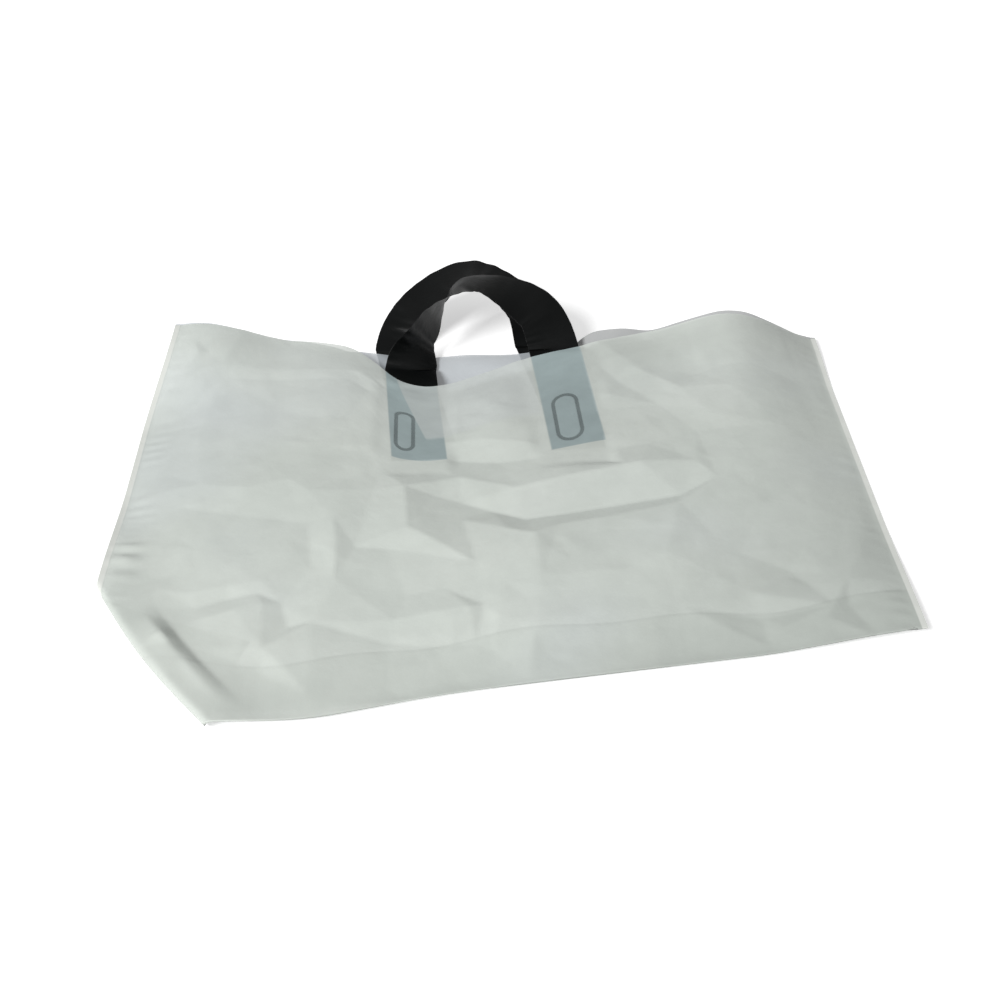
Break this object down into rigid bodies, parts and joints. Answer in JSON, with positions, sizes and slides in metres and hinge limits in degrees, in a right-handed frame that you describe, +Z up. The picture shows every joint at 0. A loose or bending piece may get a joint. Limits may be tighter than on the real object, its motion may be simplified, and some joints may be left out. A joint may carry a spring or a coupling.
{
  "type": "plastic carrier bag",
  "caption": "Wide carrier bag of milky plastic film with a tucked bottom fold and a soft black loop handle welded inside each panel, lying on its back panel.",
  "frame": {"origin": "under the middle of the bag's bounding box, on the surface that it lies on", "axes": "+X along the bag's width, +Y from the folded bottom to the mouth, +Z up from the back panel to the front panel"},
  "size_m": [0.4, 0.3692, 0.0492],
  "materials": {
    "milky_film": "translucent, soft sheen",
    "black_film": "satin"
  },
  "bodies": {
    "root": {"bag_body": "milky_film", "front_handle": "black_film", "rear_handle": "black_film"}
  },
  "joints": []
}
